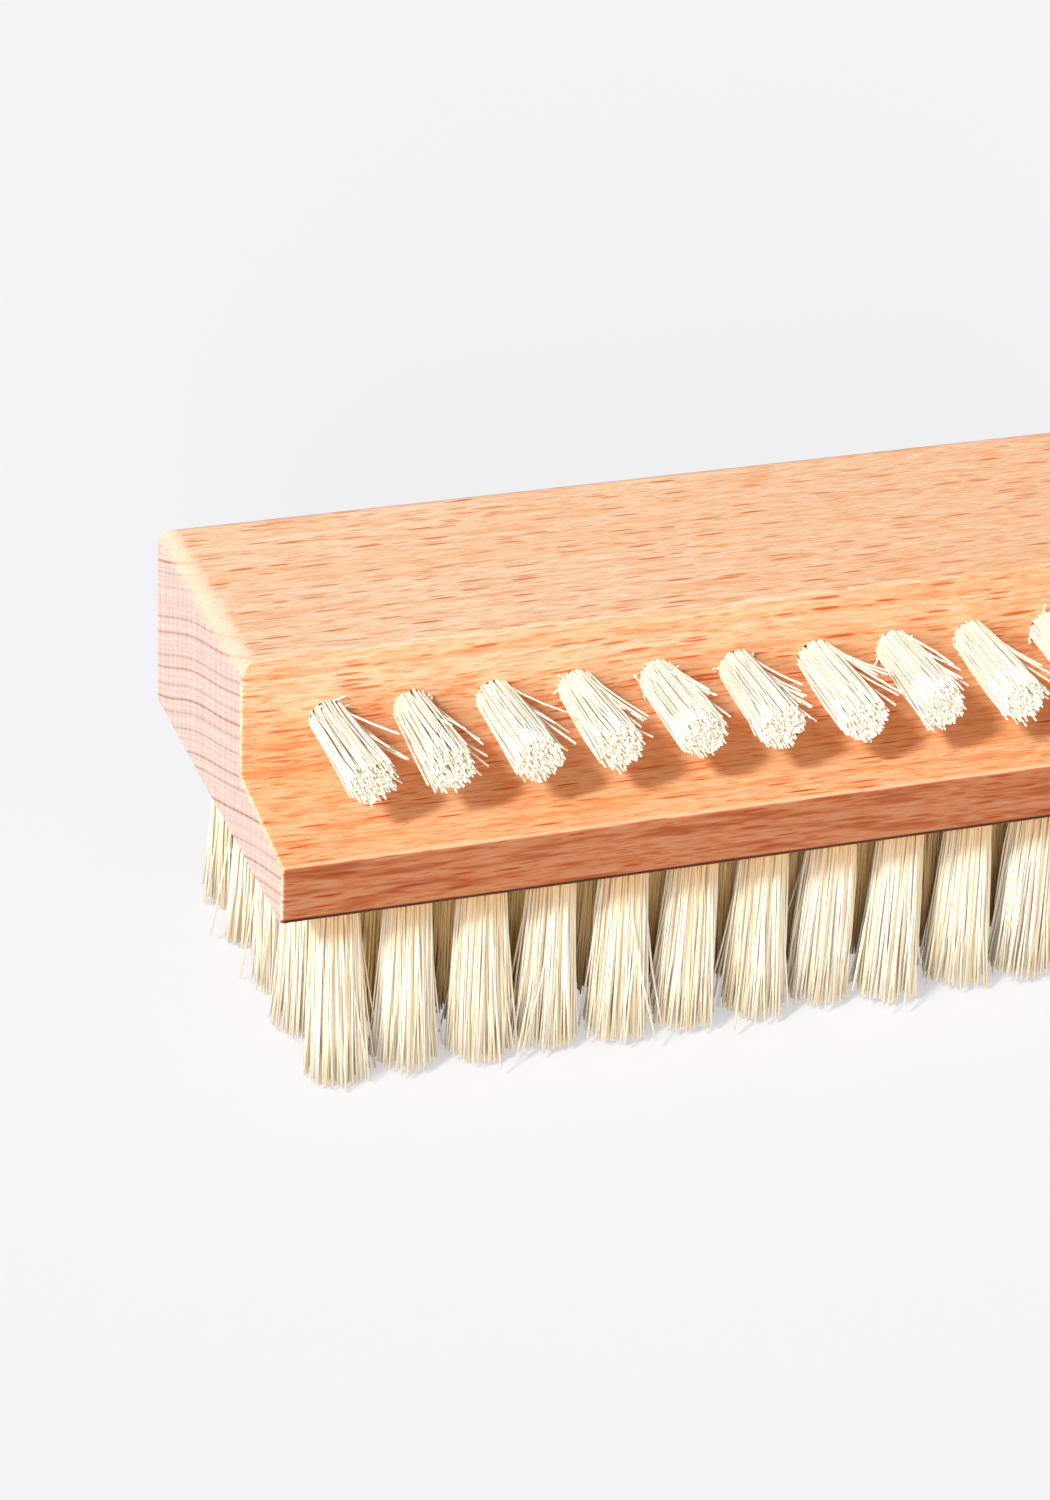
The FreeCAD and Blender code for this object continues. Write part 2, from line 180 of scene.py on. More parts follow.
def stretched(recipe, place, lengths):
    """A place measured in a pattern's own three lengths."""
    scale = [1 / length for length in lengths]
    return recipe.node("ShaderNodeVectorMath", {"operation": "MULTIPLY"}, {0: place, 1: scale})


def cloud(recipe, place, lengths, detail=2.0, output="Fac"):
    """Soft noise whose blotches have these lengths along three directions."""
    sockets = {"Vector": stretched(recipe, place, lengths), "Scale": 1}
    sockets |= {"Detail": detail, "Roughness": CLOUD_ROUGHNESS}
    return recipe.node("ShaderNodeTexNoise", {}, sockets, output)


def new_finish(name):
    """An empty material, its recipe and its surface node."""
    material = bpy.data.materials.new(name)
    material.use_nodes = True
    recipe = Recipe(material.node_tree)
    return material, recipe, material.node_tree.nodes["Principled BSDF"]


print("paint at half of 255 is", round(paint(128, 128, 128)[0], 2), "in linear light")

# %% [markdown]
# ## Beech
#
# Beech is known by its rays: thin upright ribbons of cells that run out from the heart of the tree.
# Cut along its broad side, a board shows their ends as short brown flecks. Cut at the end, it shows
# them as fine lines across the growth rings. A flat pattern could paint each face by itself, but
# then the figure would break at every edge. Here the pattern is solid: each point of the block is
# given its place in the log, and each face cuts through the same rings and rays.

# %% The block's place in its log
WAVE_LENGTHS, WAVE_DETAIL = (80, 34, 34), 1.0
WAVE = (0, 1.5, 4.0)


def log_place(recipe):
    """Millimetres along the grain and across it, a little waved, as the tree grew."""
    place = recipe.node("ShaderNodeTexCoord", output="Object")
    straight = stretched(recipe, place, (MM, MM, MM))
    waves = cloud(recipe, straight, WAVE_LENGTHS, WAVE_DETAIL, "Color")
    sockets = {0: waves, 1: WAVE, 2: straight}
    return recipe.node("ShaderNodeVectorMath", {"operation": "MULTIPLY_ADD"}, sockets)


def split(recipe, vector):
    """The three parts of a vector."""
    parts = recipe.node("ShaderNodeSeparateXYZ", {}, {0: vector}).socket.node
    return [Signal(recipe, output) for output in parts.outputs]


# %% [markdown]
# A fleck is where a face cuts a ray. Cells of random centres, stretched along the grain, give one
# ray each, and the distance to the centre tells how deep inside the ray a point lies. Each cell's
# own random colour makes some rays thick and dark, and others faint.

# %% Flecks of the rays
FLECK_CORE = 0.5
FAINTEST_FLECK = 0.6


def flecks(recipe, place, cell, reach, spread):
    """Rays in cells of this size. They reach from their centre by a share that varies by spread."""
    sockets = {"Vector": stretched(recipe, place, cell), "Scale": 1}
    distance = recipe.node("ShaderNodeTexVoronoi", {}, sockets, "Distance")
    colour = Signal(recipe, distance.socket.node.outputs["Color"])
    thickness, strength, _ = split(recipe, colour)
    edge = thickness * spread + reach
    inside = soft_step(recipe, distance, edge, edge * FLECK_CORE)
    return inside * between(strength, FAINTEST_FLECK, 1)


# %% [markdown]
# The ends of the block show what the sides only hint at: growth rings as thin reddish lines,
# unevenly spaced, and the rays as an upright hatching. Both are lines between random cells along
# one direction, so the spacing is never quite even. The rings rise towards the front, because the
# block was sawn from one side of the log.

# %% Lines of rings and rays
RING_TILT = math.radians(22)
RING_DIRECTION = (0, math.sin(RING_TILT), math.cos(RING_TILT))
RINGS = {"pitch": 1.2, "width": 0.2}
FAINT_RINGS = {"pitch": 0.6, "width": 0.2}
RAYS = {"pitch": 1.5, "width": 0.7}
RAY_PATCHES, RAY_PATCH_LEVELS = (9, 0.9, 2), (0.25, 0.6)
YEARS_SCALE, STRONG_YEARS = 0.7, (0.38, 0.68)
RING_BY_YEAR, RING_BY_RAY = (0.15, 0.95), (0.6, 0.9)
END_FIBRE_LEVELS = (0.35, 0.7)
END_PALE, END_DARK = paint(231, 216, 207), paint(223, 196, 182)
END_RAY, END_RAY_SHARE = paint(218, 182, 168), 0.5
END_FAINT, END_FAINT_SHARE = paint(228, 172, 140), 0.4
END_RING = paint(160, 58, 18)


def lines(recipe, along, pitch, width):
    """Thin lines across one direction, unevenly about a pitch apart."""
    settings = {"voronoi_dimensions": "1D", "feature": "DISTANCE_TO_EDGE"}
    sockets = {"W": along * (1 / pitch), "Scale": 1}
    edge = recipe.node("ShaderNodeTexVoronoi", settings, sockets)
    return soft_step(recipe, edge, width / pitch, 0)


def end_grain(recipe, place, across, fibre):
    """Colour of the ends, and how dark a ring is."""
    sockets = {0: place, 1: RING_DIRECTION}
    out = recipe.node("ShaderNodeVectorMath", {"operation": "DOT_PRODUCT"}, sockets, "Value")
    patches = soft_step(recipe, cloud(recipe, place, RAY_PATCHES), *RAY_PATCH_LEVELS)
    rays = lines(recipe, across, **RAYS) * patches
    faint = lines(recipe, out, **FAINT_RINGS)
    sockets = {"W": out, "Scale": YEARS_SCALE, "Detail": 1}
    years = recipe.node("ShaderNodeTexNoise", {"noise_dimensions": "1D"}, sockets)
    by_year = between(soft_step(recipe, years, *STRONG_YEARS), *RING_BY_YEAR)
    rings = lines(recipe, out, **RINGS) * by_year * between(rays, *RING_BY_RAY)
    colour = blend(recipe, END_PALE, END_DARK, soft_step(recipe, fibre, *END_FIBRE_LEVELS))
    colour = blend(recipe, colour, END_RAY, rays * END_RAY_SHARE)
    colour = blend(recipe, colour, END_FAINT, faint * END_FAINT_SHARE)
    return blend(recipe, colour, END_RING, rings), rings


# %% [markdown]
# Oil sinks into each face differently, and some of the tints are painted light. The top was sanded
# last and stays pale, and the milled faces of the rabbet drink more and turn orange; lower down the
# wall the orange deepens as painted shade of the recess. The lip, which fingers hold, is reddish
# brown, partly its own oiled colour and partly painted shade. The edges underneath are painted dark
# as shade, and the rounded top-front edge is painted a little darker, as shade that tones down its
# highlight. The rounded edges at the ends and at the lip's top are paler, part rubbed wear and part
# painted highlight. All of this follows from which way a face looks and where it lies, so no face
# needs a finish of its own. Each share is a soft step of one part of the normal, or of the place in
# millimetres.

# %% Faces and edges
LEDGE_DEPTH = 12.8
RABBET_BEHIND_FRONT = (LEDGE_DEPTH + 0.6, LEDGE_DEPTH)
LIP_BEHIND_FRONT = (0.9, 0.4)
# Down the wall the tint's share grows from 0.4 to 1: oil near the top, deepened lower down as
# painted shade of the recess.
WALL_BELOW_TOP = (1, 7)
WALL_TINT_BY_HEIGHT = (0.4, 1)
SQUARE_ON, END_ON = (0.75, 0.95), (0.82, 0.98)
NOT_LEVEL, NOT_UPRIGHT = (0.97, 0.85), (0, 0.2)
LEANS_AHEAD, LEANS_SIDEWAYS = (0.1, 0.45), (0.08, 0.4)
LOOKS_DOWN, NOT_UNDERSIDE = (-0.02, -0.25), (-0.99, -0.9)
UNRUBBED_IN_RABBET = 0.85


def face_shares(recipe):
    """How far a point belongs to each kind of face or edge, by its name."""
    normal = recipe.node("ShaderNodeNewGeometry", output="Normal")
    normal_x, normal_y, normal_z = split(recipe, normal)
    _, depth, height = split(recipe, recipe.node("ShaderNodeTexCoord", output="Object"))
    sideways = normal_x.maths("ABSOLUTE", normal_x)
    ahead = 0 - normal_y

    def behind_front(levels):
        return soft_step(recipe, depth, *(block_low.y + level * MM for level in levels))

    in_rabbet = behind_front(RABBET_BEHIND_FRONT)
    at_lip = behind_front(LIP_BEHIND_FRONT)
    low_down = soft_step(recipe, height, *(block_high.z - level * MM for level in WALL_BELOW_TOP))
    forward = soft_step(recipe, ahead, *SQUARE_ON)
    end = soft_step(recipe, sideways, *END_ON)
    up_edge = soft_step(recipe, normal_z, *NOT_LEVEL) * soft_step(recipe, normal_z, *NOT_UPRIGHT)
    down = soft_step(recipe, normal_z, *LOOKS_DOWN)
    end_edge = soft_step(recipe, sideways, *LEANS_SIDEWAYS) * (1 - end)
    return {
        "end": end,
        "ledge": in_rabbet * soft_step(recipe, normal_z, *SQUARE_ON),
        # the wall's share grows lower down: oil, and below it painted shade
        "wall": in_rabbet * forward * (1 - at_lip) * between(low_down, *WALL_TINT_BY_HEIGHT),
        # the lip's tint is partly its own oiled colour and partly painted shade
        "lip": at_lip * forward,
        "back": soft_step(recipe, normal_y, *SQUARE_ON),
        # painted shade on the top-front rounding, toning down the highlight the lamps give it
        "brow": soft_step(recipe, ahead, *LEANS_AHEAD) * up_edge * (1 - at_lip),
        # painted shade on the lower rounded edges, which look down
        "underside_edge_shade": down * soft_step(recipe, normal_z, *NOT_UNDERSIDE) * (1 - end),
        # pale rounded edges: part rubbed wear, part painted highlight
        "lip_edge_wear_and_highlight": at_lip * (1 - forward) * up_edge,
        "end_edge_wear_and_highlight": end_edge * (1 - in_rabbet * UNRUBBED_IN_RABBET),
    }


# %% Tints of the faces
# Tints by face: the ledge's and back's are oil; the wall's and lip's are oil and painted shade; the
# brow's and the underside edges' are painted shade.
OIL_AND_SHADE_TINTS = {
    "ledge": (246, 226, 206),
    # oil, and lower down painted shade
    "wall": (230, 215, 198),
    # partly oil, partly painted shade
    "lip": (186, 148, 130),
    "back": (236, 214, 202),
    # painted shade on the top-front rounding
    "brow": (236, 222, 208),
    # painted shade along the edges underneath
    "underside_edge_shade": (112, 84, 64),
}
# Pale rounded edges at the lip's top and the ends: part rubbed wear, part painted highlight.
EDGE_WEAR_AND_HIGHLIGHT = {
    "lip_edge_wear_and_highlight": {"tint": (232, 172, 132), "share": 0.7},
    "end_edge_wear_and_highlight": {"tint": (246, 213, 190), "share": 0.65},
}


def face_tints(recipe, colour, shares):
    """The sides' colour with each face's tint, part oil and part painted shade, and the pale edges.
    """
    for face, tint in OIL_AND_SHADE_TINTS.items():
        colour = blend(recipe, colour, paint(*tint), shares[face], "MULTIPLY")
    for edge, pale_edge in EDGE_WEAR_AND_HIGHLIGHT.items():
        colour = blend(recipe, colour, paint(*pale_edge["tint"]), shares[edge] * pale_edge["share"])
    return colour


# %% [markdown]
# The long faces are built up in layers, as a grainer paints wood: a pale ground, broad bands,
# streaks, fibres, and the flecks last. Faces that drank more oil show most layers more strongly. A
# grain this fine could be modelled, but it is less than a tenth of a millimetre deep, so a bump is
# enough.

# %% Side grain
BANDS, BAND_LEVELS = (50, 4, 3), (0.3, 0.7)
STREAKS, STREAK_LEVELS, STREAK_SHARES = (8, 0.7, 0.7), (0.45, 0.70), (0.65, 0.95)
FIBRES, FIBRE_DETAIL = (2.2, 0.19, 0.19), 3.0
DARK_FIBRE_LEVELS, DARK_FIBRE_SHARES = (0.50, 0.68), (0.55, 0.80)
LIGHT_FIBRE_LEVELS, LIGHT_FIBRE_SHARE = (0.48, 0.32), 0.55
LARGE_FLECKS = {"cell": (6.0, 0.55, 0.55), "reach": 0.17, "spread": 0.18}
SMALL_FLECKS = {"cell": (3.4, 0.45, 0.45), "reach": 0.13, "spread": 0.17}
LARGE_FLECK_SHARES, SMALL_FLECK_SHARES = (0.95, 1), (0.75, 0.95)
DEEPER_ALONG, DEEPER_SHARE = (-40, 45), 0.6
LIP_STREAK_LEVELS, LIP_STREAK_SHARE = (0.48, 0.68), 0.55
BEECH = {
    "ground": paint(255, 218, 181),
    "band": paint(255, 206, 160),
    "deeper": paint(245, 186, 138),
    "streak": paint(246, 172, 120),
    "dark_fibre": paint(232, 148, 92),
    "light_fibre": paint(255, 234, 210),
    "small_fleck": paint(232, 134, 75),
    "large_fleck": paint(218, 91, 26),
    "lip_streak": paint(190, 112, 70),
    "rubbed_ring": paint(226, 148, 100),
}


def side_grain(recipe, place, along, fibre, large, shares):
    """Colour of the long faces, before their tints."""
    bands = cloud(recipe, place, BANDS)
    streaks = cloud(recipe, place, STREAKS)
    small = flecks(recipe, place, **SMALL_FLECKS)
    oiled = shares["ledge"] + shares["wall"] + shares["lip"]
    dark, light = (
        soft_step(recipe, fibre, *levels) for levels in (DARK_FIBRE_LEVELS, LIGHT_FIBRE_LEVELS)
    )
    lip_streak = soft_step(recipe, streaks, *LIP_STREAK_LEVELS) * shares["lip"]
    layers = {
        "band": soft_step(recipe, bands, *BAND_LEVELS),
        "deeper": soft_step(recipe, along, *DEEPER_ALONG) * DEEPER_SHARE,
        "streak": soft_step(recipe, streaks, *STREAK_LEVELS) * between(oiled, *STREAK_SHARES),
        "dark_fibre": dark * between(oiled, *DARK_FIBRE_SHARES),
        "light_fibre": light * LIGHT_FIBRE_SHARE,
        "small_fleck": small * between(oiled, *SMALL_FLECK_SHARES),
        "large_fleck": large * between(oiled, *LARGE_FLECK_SHARES),
        "lip_streak": lip_streak * LIP_STREAK_SHARE,
    }
    colour = BEECH["ground"]
    for name, share in layers.items():
        colour = blend(recipe, colour, BEECH[name], share)
    return colour


# %% Beech finish
RUBBED_RING_SHARE = 0.7
FIBRE_HEIGHT, FLECK_HEIGHT, RING_HEIGHT = 0.5, 0.4, 0.2
GRAIN_BUMP = {"Strength": 0.35, "Distance": 0.06 * MM}
BEECH_ROUGHNESS = (0.4, 0.7)
BEECH_GLOSS = 0.12


def beech_finish():
    """Oiled beech, with its figure solid through the block."""
    material, recipe, surface = new_finish("oiled_beech_grain")
    place = log_place(recipe)
    along, across, _ = split(recipe, place)
    fibre = cloud(recipe, place, FIBRES, FIBRE_DETAIL)
    large = flecks(recipe, place, **LARGE_FLECKS)
    shares = face_shares(recipe)
    side = side_grain(recipe, place, along, fibre, large, shares)
    side = face_tints(recipe, side, shares)
    butt, rings = end_grain(recipe, place, across, fibre)
    rubbed_rings = rings * shares["end_edge_wear_and_highlight"] * RUBBED_RING_SHARE
    side = blend(recipe, side, BEECH["rubbed_ring"], rubbed_rings)
    grain = fibre * FIBRE_HEIGHT - large * FLECK_HEIGHT - rings * RING_HEIGHT
    recipe.fill(surface, {
        "Base Color": blend(recipe, side, butt, shares["end"]),
        "Roughness": between(fibre, *BEECH_ROUGHNESS),
        "Specular IOR Level": BEECH_GLOSS,
        "Normal": recipe.node("ShaderNodeBump", {}, {**GRAIN_BUMP, "Height": grain}),
    })
    return material


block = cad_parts["beech_block"]
block.data.materials.clear()
block.data.materials.append(beech_finish())
print("beech finish with", len(block.data.materials[0].node_tree.nodes), "nodes")

# %% [markdown]
# ## Anchor wire
#
# Each tuft is folded over a short piece of flat wire, driven into its hole. None of it shows, but
# it is drawn metal, so it gets the fine lengthwise scratches of the die.

# %% Anchor wire finish
SCRATCHES, SCRATCH_DETAIL = (0.05 * MM, 2 * MM, 2 * MM), 3.0
WIRE_BRIGHT, WIRE_DULL = paint(196, 192, 184), paint(168, 162, 152)
WIRE_ROUGHNESS = (0.25, 0.55)


def wire_finish():
    """Drawn flat wire, dull and finely scratched."""
    material, recipe, surface = new_finish("drawn_wire")
    place = recipe.node("ShaderNodeTexCoord", output="Object")
    scratch = cloud(recipe, place, SCRATCHES, SCRATCH_DETAIL)
    recipe.fill(surface, {
        "Base Color": blend(recipe, WIRE_BRIGHT, WIRE_DULL, scratch),
        "Roughness": between(scratch, *WIRE_ROUGHNESS),
        "Metallic": 1,
    })
    return material


anchor_wire = wire_finish()
for name in ("nail_anchors", "field_anchors"):
    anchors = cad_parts[name]
    anchors.data.materials.clear()
    anchors.data.materials.append(anchor_wire)
print("wire finish on both groups of anchors")

# %% [markdown]
# ## Bristles
#
# A tuft is three or four hundred stiff bristles, each about a fifth of a millimetre thick. Hair
# particles would draw them quickly, but they aren't a mesh that can be kept. Instead every bristle
# is one short spline, and a round bevel along the curve gives all the bristles of a tuft at once.
# First come their centre lines, as arrays: one row of points for each bristle.

# %% Centre lines of a tuft
POINTS = 5
HIDDEN = 2.0
GOLDEN_ANGLE = math.pi * (3 - math.sqrt(5))
ANGLE_JITTER = 0.6
BOW = 0.15
FLARE_CURVE = 1.35


def centre_lines(dice, root_radius, tip_radius, drift, reach):
    """Bristles that stand in the mouth of their hole, at Z 0, and reach up, in millimetres. Drift
    is how far each tip is pushed aside."""
    count = len(reach)
    number = np.arange(count)
    radius = root_radius * np.sqrt((number + 0.5) / count)
    angle = number * GOLDEN_ANGLE + dice.uniform(0, ANGLE_JITTER, count)
    root = np.stack([radius * np.cos(angle), radius * np.sin(angle)], 1)
    spread = root * (tip_radius / root_radius - 1) + drift
    bow = dice.normal(0, BOW, (count, 2))
    share = np.linspace(0, 1, POINTS - 1)[:, None]
    side = root[:, None] + spread[:, None] * share ** FLARE_CURVE
    side = side + bow[:, None] * share * (1 - share) * 4
    free = np.concatenate([side, (share * reach).T[:, :, None]], 2)
    hidden = np.column_stack([root, np.full(count, -HIDDEN)])[:, None]
    return np.concatenate([hidden, free], 1)


# %% [markdown]
# A curve's bevel could be left live, but a kept piece is a mesh. Blender's own conversion turns the
# curve into one, with the round ends first, last bristle to first, and then the walls, first
# bristle to last.

# %% A curve through the bristles
BRISTLE_RADIUS = 0.11
SIDES = 6
TAPER = (1.0, 0.8)
THICKNESS = (0.8, 1.15)


def bristle_curve(name, dice, paths):
    """Curve with one tapered spline along each path."""
    curve = bpy.data.curves.new(name, "CURVE")
    curve.dimensions = "3D"
    curve.bevel_depth = BRISTLE_RADIUS * MM
    curve.bevel_resolution = SIDES // 2 - 2
    curve.use_fill_caps = True
    taper = np.linspace(*TAPER, POINTS)
    for path in paths:
        spline = curve.splines.new("POLY")
        spline.points.add(POINTS - 1)
        spline.points.foreach_set("co", np.column_stack([path * MM, np.ones(POINTS)]).ravel())
        spline.points.foreach_set("radius", taper * dice.uniform(*THICKNESS))
    return curve


# %% [markdown]
# That order of faces gives each bristle a lot number of its own, kept on its faces, so that one
# finish can colour hundreds of bristles differently. It also gives each a square of its own on a
# map, so that their colours can be baked: the wall fills most of the square, and the two ends stand
# beside it as small rounds, the root below the tip.

# %% Number the bristles
WALL_FACES = SIDES * (POINTS - 1)
END_FACES = 2 * (SIDES - 2)
TRIANGLE, QUAD = 3, 4
WALL_PATCH, PATCH_MARGIN = (0.80, 0.90), 0.05
END_X, END_WIDTH = 0.92, 0.04
ROOT_Y, TIP_ABOVE_ROOT, END_HEIGHT = 0.25, 0.45, 0.18


def number_bristles(mesh, dice, count):
    """Lot number on each bristle's faces, its length from 0 to 1 as a map, and a map for baking."""
    last_first = np.repeat(np.arange(count)[::-1], END_FACES)
    owner = np.concatenate([last_first, np.repeat(np.arange(count), WALL_FACES)])
    lots = mesh.attributes.new("lot", "FLOAT", "FACE")
    lots.data.foreach_set("value", dice.uniform(0, 1, count)[owner].astype(np.float32))
    flat = np.arange(len(owner)) < len(last_first)
    mesh.attributes["sharp_face"].data.foreach_set("value", flat)

    corner = np.zeros(len(mesh.loops), np.int32)
    mesh.loops.foreach_get("vertex_index", corner)
    along = np.zeros(len(mesh.loops) * 2, np.float32)
    mesh.uv_layers[0].data.foreach_get("uv", along)
    along = along.reshape(-1, 2)
    ends = TRIANGLE * len(last_first)
    at_tip = np.arange(ends) // (TRIANGLE * END_FACES // 2) % 2 == 0
    cell = along * WALL_PATCH + PATCH_MARGIN
    turn = 2 * math.pi * (corner[:ends] % SIDES) / SIDES
    cell[:ends, 0] = END_X + END_WIDTH * np.cos(turn)
    cell[:ends, 1] = ROOT_Y + TIP_ABOVE_ROOT * at_tip + END_HEIGHT * np.sin(turn)
    along[:ends] = np.stack([at_tip, np.full(ends, 0.5)], 1)
    mesh.uv_layers[0].data.foreach_set("uv", along.ravel())
    mesh.uv_layers[0].name = "along"

    across = math.ceil(math.sqrt(count))
    home = np.repeat(owner, np.where(flat, TRIANGLE, QUAD))
    sheet = (cell + np.stack([home % across, home // across], 1)) / across
    mesh.uv_layers.new(name="OFBake").data.foreach_set("uv", sheet.astype(np.float32).ravel())


# %% [markdown]
# The conversion leaves each end loose in its wall. A merge of points that lie together closes them,
# and then every face can be turned outwards.

# %% From centre lines to bristles
MERGE_DISTANCE = 0.001 * MM


def bristle_mesh(name, dice, paths):
    """Mesh of the bristles along these paths."""
    curve = bristle_curve(name, dice, paths)
    holder = bpy.data.objects.new(name, curve)
    mesh = bpy.data.meshes.new_from_object(holder)
    bpy.data.objects.remove(holder)
    bpy.data.curves.remove(curve)
    number_bristles(mesh, dice, len(paths))
    tubes = bmesh.new()
    tubes.from_mesh(mesh)
    bmesh.ops.remove_doubles(tubes, verts=tubes.verts, dist=MERGE_DISTANCE)
    bmesh.ops.recalc_face_normals(tubes, faces=tubes.faces)
    tubes.to_mesh(mesh)
    tubes.free()
    return mesh


# %% [markdown]
# ## Bristle finish
#
# Bleached bristle is ivory, but no two are alike: some are nearly white, a few are straw. The lot
# number picks each one's colour between the two. The length, from 0 at the root to 1 at the tip,
# lets the roots turn golden where they come out of the wood, most in the field: painted shade,
# where those tufts hang in the shadow of the block. The tufts inside the field see little light,
# and their straw cast all along is painted shade too, the golden tone of bristles in the shade of
# their neighbours. The nail row is nearly white.

# %% Bristle finish
LOT_DARK, LOT_MIDDLE, LOT_PALE = paint(249, 228, 184), paint(254, 242, 218), paint(253, 245, 230)
DARK_LOTS, PALE_LOTS = (0.0, 0.25), (0.25, 0.9)
# Golden painted shade at the roots, where the field's tufts hang in the shadow of the block.
ROOT_SHADE_GOLD, ROOT_LENGTHS = paint(232, 186, 108), (0.52, 0.26)
MOTTLES, MOTTLE_DETAIL = (0.6 * MM, 0.6 * MM, 2.5 * MM), 3.0
MOTTLED, MOTTLE_LEVELS, MOTTLE_SHARE = paint(250, 234, 200), (0.5, 0.8), 0.3
BRISTLE_ROUGHNESS = (0.34, 0.54)
BRISTLE_GLOSS = 0.2
CREAM, STRAW = paint(254, 246, 232), paint(248, 202, 112)


def bristle_finish(name, root_shade_share, cast, cast_share):
    """Ivory bristle, each one a little different, with a share of golden painted shade at the root
    and of a cast all along."""
    material, recipe, surface = new_finish(name)
    lot = recipe.node("ShaderNodeAttribute", {"attribute_name": "lot"}, output="Fac")
    length, _, _ = split(recipe, recipe.node("ShaderNodeUVMap", {"uv_map": "along"}))
    place = recipe.node("ShaderNodeTexCoord", output="Object")
    mottle = cloud(recipe, place, MOTTLES, MOTTLE_DETAIL)
    root = soft_step(recipe, length, *ROOT_LENGTHS) * root_shade_share
    spots = soft_step(recipe, mottle, *MOTTLE_LEVELS) * MOTTLE_SHARE
    colour = blend(recipe, LOT_DARK, LOT_MIDDLE, soft_step(recipe, lot, *DARK_LOTS))
    colour = blend(recipe, colour, LOT_PALE, soft_step(recipe, lot, *PALE_LOTS))
    colour = blend(recipe, colour, ROOT_SHADE_GOLD, root)
    colour = blend(recipe, colour, cast, cast_share)
    recipe.fill(surface, {
        "Base Color": blend(recipe, colour, MOTTLED, spots),
        "Roughness": between(mottle, *BRISTLE_ROUGHNESS),
        "Specular IOR Level": BRISTLE_GLOSS,
    })
    return material


# root_shade_share is golden painted shade at the roots; the inner tufts' straw cast is painted
# shade as well.
bristles = {
    "nail": bristle_finish("ivory_nail_bristle", root_shade_share=0.1, cast=CREAM, cast_share=0.45),
    "outer": bristle_finish("ivory_bristle", root_shade_share=0.8, cast=STRAW, cast_share=0.03),
    # painted shade: the inner tufts' straw cast stands for the golden tone of bristles deep in the
    # field
    "inner": bristle_finish("golden_shade_bristle", root_shade_share=0.8, cast=STRAW, cast_share=0.75),
}
print("bristle finishes:", ", ".join(bristles))

# %% [markdown]
# ## Nail row
#
# The nail tufts come out of the rabbet's wall and point forward. Each could be a copy of the first,
# but on the real brush no two are alike, so each is thrown with dice of its own. A few bristles of
# each fan out towards the next tuft, two or so reach past the rest, and some broken ones stand as
# fuzz at the mouth of the hole.

# %% Nail row
NAIL_COUNT = 12
NAIL_BRISTLES = 340
NAIL_RADII = (1.6, 2.0)
NAIL_UNEVEN, NAIL_DRIFT, NAIL_LEAN = 0.35, 0.16, 0.2
FAN_COUNT, FAN_ASIDE, FAN_SPREAD = (14, 20), (1.6, 2.8), 0.35
FAN_DOWN, FAN_LENGTH = (-0.2, 0.7), (0.55, 0.85)
LONG_COUNT, LONG_EXTRA = 2, (0.5, 1.3)
FUZZ_COUNT, FUZZ_LENGTH, FUZZ_DRIFT = 6, (0.3, 0.8), 0.3
wall = block_low.y / MM + LEDGE_DEPTH


def dress(name, mesh, node, kind):
    """Piece of the brush that stands for a CAD node, with one kind of bristle."""
    mesh.materials.clear()
    mesh.materials.append(bristles[kind])
    piece = bpy.data.objects.new(name, mesh)
    bpy.context.scene.collection.objects.link(piece)
    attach(piece, "root")
    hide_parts(node)
    return len(mesh.polygons)


def nail_lines(dice, node):
    """Paths of one nail tuft. Its own X is the block's X, its Y is up, and it reaches along -Y."""
    low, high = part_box(node)
    middle = (low + high) / 2 / MM
    length = wall - low.y / MM
    reach = length - np.abs(dice.normal(0, NAIL_UNEVEN, NAIL_BRISTLES))
    drift = dice.normal(0, NAIL_DRIFT, (NAIL_BRISTLES, 2)) + dice.normal(0, NAIL_LEAN, 2)
    outer = NAIL_BRISTLES - 1 - dice.permutation(NAIL_BRISTLES // 2)
    fan, long = np.split(outer[: dice.integers(*FAN_COUNT)], [-LONG_COUNT])
    drift[fan, 0] += dice.uniform(*FAN_ASIDE) + dice.normal(0, FAN_SPREAD, len(fan))
    drift[fan, 1] -= dice.uniform(*FAN_DOWN, len(fan))
    reach[fan] *= dice.uniform(*FAN_LENGTH, len(fan))
    reach[long] += dice.uniform(*LONG_EXTRA, LONG_COUNT)
    fuzz = outer[-FUZZ_COUNT:]
    reach[fuzz] = dice.uniform(*FUZZ_LENGTH, FUZZ_COUNT)
    drift[fuzz] += dice.normal(0, FUZZ_DRIFT, (FUZZ_COUNT, 2))
    paths = centre_lines(dice, *NAIL_RADII, drift, reach)
    along_x, up, forward = np.moveaxis(paths, 2, 0)
    return np.stack([along_x + middle.x, wall - forward, up + middle.z], 2)


faces = 0
for number in range(1, NAIL_COUNT + 1):
    dice = np.random.default_rng(number)
    node = f"nail_tuft_{number:02d}"
    tuft = bristle_mesh(node, dice, nail_lines(dice, node))
    faces += dress(f"nail_bristles_{number:02d}", tuft, node, "nail")
print("nail row of", NAIL_COUNT, "tufts with", faces, "faces")

# %% [markdown]
# ## Scrubbing field
#
# Seventy longer tufts stand under the block, five rows of fourteen. They spread as they leave their
# holes until they almost meet at the tips. A few stray bristles cross from one tuft to the next.
# The inner tufts of a row are one piece, as in the frame, and have fewer bristles, because little
# of them shows.

# %% One tuft of the field
FIELD_RADII = (1.95, 2.65)
FIELD_UNEVEN, FIELD_DRIFT, FIELD_LEAN = 0.35, 0.32, 0.22
STRAY_SHARE, STRAY_DRIFT = 0.05, (2, 3.6)
underside = block_low.z / MM


